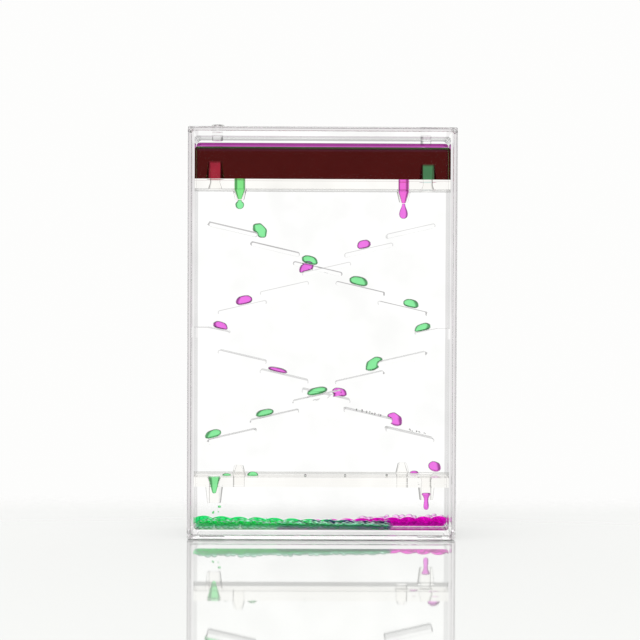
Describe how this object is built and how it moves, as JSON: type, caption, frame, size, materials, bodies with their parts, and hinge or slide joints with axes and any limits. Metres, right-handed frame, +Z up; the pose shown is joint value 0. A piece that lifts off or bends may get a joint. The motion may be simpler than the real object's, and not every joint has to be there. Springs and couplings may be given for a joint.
{
  "type": "liquid motion timer",
  "caption": "Clear sealed desk timer: dyed drops fall from nozzles and run down zigzag ramps on both faces of a divider; turned over to run again.",
  "frame": {"origin": "middle of the underside, on the surface that the timer stands on", "axes": "+X to the right seen from the green side, +Y to the back (pink side), +Z up"},
  "size_m": [0.09, 0.032, 0.1392],
  "materials": {
    "case": "clear polished plastic",
    "tank": "clear polished plastic",
    "baffle": "clear moulded plastic",
    "stopper": "clear soft plastic",
    "clear_liquid": "clear oil",
    "green_liquid": "dyed water",
    "pink_liquid": "dyed water"
  },
  "bodies": {
    "timer": {"case_front_shell": "case", "case_rear_shell": "case", "tank_front_tray": "tank", "tank_rear_tray": "tank", "centre_divider": "tank", "front_upper_baffle": "baffle", "front_lower_baffle": "baffle", "rear_upper_baffle": "baffle", "rear_lower_baffle": "baffle", "front_fill_stopper": "stopper", "rear_fill_stopper": "stopper", "front_clear_liquid": "clear_liquid", "rear_clear_liquid": "clear_liquid", "green_reservoir": "green_liquid", "pink_reservoir": "pink_liquid", "green_settled": "green_liquid", "pink_settled": "pink_liquid", "green_drain_slug": "green_liquid", "green_puddle": "green_liquid", "green_bead": "green_liquid", "pink_puddle": "pink_liquid"},
    "green_drop_1_body": {"green_drop_1": "green_liquid"},
    "green_drop_2_body": {"green_drop_2": "green_liquid"},
    "green_drop_3_body": {"green_drop_3": "green_liquid"},
    "green_drop_4_body": {"green_drop_4": "green_liquid"},
    "green_drop_5_body": {"green_drop_5": "green_liquid"},
    "green_drop_6_body": {"green_drop_6": "green_liquid"},
    "green_drop_7_body": {"green_drop_7": "green_liquid"},
    "green_drop_8_body": {"green_drop_8": "green_liquid"},
    "green_drop_9_body": {"green_drop_9": "green_liquid"},
    "pink_drop_1_body": {"pink_drop_1": "pink_liquid"},
    "pink_drop_2_body": {"pink_drop_2": "pink_liquid"},
    "pink_drop_3_body": {"pink_drop_3": "pink_liquid"},
    "pink_drop_4_body": {"pink_drop_4": "pink_liquid"},
    "pink_drop_5_body": {"pink_drop_5": "pink_liquid"},
    "pink_drop_6_body": {"pink_drop_6": "pink_liquid"},
    "pink_drop_7_body": {"pink_drop_7": "pink_liquid"},
    "green_pendant_drop_body": {"green_pendant_drop": "green_liquid"},
    "pink_pendant_drop_body": {"pink_pendant_drop": "pink_liquid"},
    "pink_falling_drop_body": {"pink_falling_drop": "pink_liquid"},
    "pink_drain_drop_body": {"pink_drain_drop": "pink_liquid"}
  },
  "joints": [
    {"name": "green_drop_1_run", "type": "slide", "parent": "timer", "child": "green_drop_1_body", "axis": [0.9746, 0, -0.2241], "range_m": [0, 0.00238]},
    {"name": "green_drop_2_run", "type": "slide", "parent": "timer", "child": "green_drop_2_body", "axis": [0.9746, 0, -0.2241], "range_m": [0, 0.00748]},
    {"name": "green_drop_3_run", "type": "slide", "parent": "timer", "child": "green_drop_3_body", "axis": [0.9746, 0, -0.2241], "range_m": [0, 0.00527]},
    {"name": "green_drop_4_run", "type": "slide", "parent": "timer", "child": "green_drop_4_body", "axis": [0.9746, 0, -0.2241], "range_m": [0, 0.00289]},
    {"name": "green_drop_5_run", "type": "slide", "parent": "timer", "child": "green_drop_5_body", "axis": [-0.9724, 0, -0.2334], "range_m": [0, 0.00187]},
    {"name": "green_drop_6_run", "type": "slide", "parent": "timer", "child": "green_drop_6_body", "axis": [-0.9746, 0, -0.2241], "range_m": [0, 0.00238]},
    {"name": "green_drop_7_run", "type": "slide", "parent": "timer", "child": "green_drop_7_body", "axis": [-0.9746, 0, -0.2241], "range_m": [0, 0.00459]},
    {"name": "green_drop_8_run", "type": "slide", "parent": "timer", "child": "green_drop_8_body", "axis": [-0.9746, 0, -0.2241], "range_m": [0, 0.00187]},
    {"name": "green_drop_9_run", "type": "slide", "parent": "timer", "child": "green_drop_9_body", "axis": [-0.9746, 0, -0.2241], "range_m": [0, 0.00119]},
    {"name": "pink_drop_1_run", "type": "slide", "parent": "timer", "child": "pink_drop_1_body", "axis": [-0.9746, 0, -0.2241], "range_m": [0, 0.00425]},
    {"name": "pink_drop_2_run", "type": "slide", "parent": "timer", "child": "pink_drop_2_body", "axis": [-0.9746, 0, -0.2241], "range_m": [0, 0.00187]},
    {"name": "pink_drop_3_run", "type": "slide", "parent": "timer", "child": "pink_drop_3_body", "axis": [-0.9746, 0, -0.2241], "range_m": [0, 0.00544]},
    {"name": "pink_drop_4_run", "type": "slide", "parent": "timer", "child": "pink_drop_4_body", "axis": [0.9724, 0, -0.2334], "range_m": [0, 0.00221]},
    {"name": "pink_drop_5_run", "type": "slide", "parent": "timer", "child": "pink_drop_5_body", "axis": [0.9746, 0, -0.2241], "range_m": [0, 0.00646]},
    {"name": "pink_drop_6_run", "type": "slide", "parent": "timer", "child": "pink_drop_6_body", "axis": [0.9746, 0, -0.2241], "range_m": [0, 0.00119]},
    {"name": "pink_drop_7_run", "type": "slide", "parent": "timer", "child": "pink_drop_7_body", "axis": [0.9746, 0, -0.2241], "range_m": [0, 0.00238]},
    {"name": "green_pendant_drop_run", "type": "slide", "parent": "timer", "child": "green_pendant_drop_body", "axis": [0, 0, -1], "range_m": [0, 0.006]},
    {"name": "pink_pendant_drop_run", "type": "slide", "parent": "timer", "child": "pink_pendant_drop_body", "axis": [0, 0, -1], "range_m": [0, 0.0034]},
    {"name": "pink_falling_drop_run", "type": "slide", "parent": "timer", "child": "pink_falling_drop_body", "axis": [0, 0, -1], "range_m": [0, 0.0004]},
    {"name": "pink_drain_drop_run", "type": "slide", "parent": "timer", "child": "pink_drain_drop_body", "axis": [0, 0, -1], "range_m": [0, 0.0009]}
  ],
  "couplings": [
    {"joint": "green_drop_1_run", "follows": "green_drop_3_run", "ratio": 0.45161},
    {"joint": "green_drop_2_run", "follows": "green_drop_3_run", "ratio": 1.4194},
    {"joint": "green_drop_4_run", "follows": "green_drop_3_run", "ratio": 0.54839},
    {"joint": "green_drop_5_run", "follows": "green_drop_3_run", "ratio": 0.35484},
    {"joint": "green_drop_6_run", "follows": "green_drop_3_run", "ratio": 0.45161},
    {"joint": "green_drop_7_run", "follows": "green_drop_3_run", "ratio": 0.87097},
    {"joint": "green_drop_8_run", "follows": "green_drop_3_run", "ratio": 0.35484},
    {"joint": "green_drop_9_run", "follows": "green_drop_3_run", "ratio": 0.22581},
    {"joint": "green_pendant_drop_run", "follows": "green_drop_3_run", "ratio": 1.1385},
    {"joint": "pink_drop_1_run", "follows": "pink_drop_3_run", "ratio": 0.78125},
    {"joint": "pink_drop_2_run", "follows": "pink_drop_3_run", "ratio": 0.34375},
    {"joint": "pink_drop_4_run", "follows": "pink_drop_3_run", "ratio": 0.40625},
    {"joint": "pink_drop_5_run", "follows": "pink_drop_3_run", "ratio": 1.1875},
    {"joint": "pink_drop_6_run", "follows": "pink_drop_3_run", "ratio": 0.21875},
    {"joint": "pink_drop_7_run", "follows": "pink_drop_3_run", "ratio": 0.4375},
    {"joint": "pink_pendant_drop_run", "follows": "pink_drop_3_run", "ratio": 0.625},
    {"joint": "pink_falling_drop_run", "follows": "pink_drop_3_run", "ratio": 0.073529},
    {"joint": "pink_drain_drop_run", "follows": "pink_drop_3_run", "ratio": 0.16544}
  ]
}
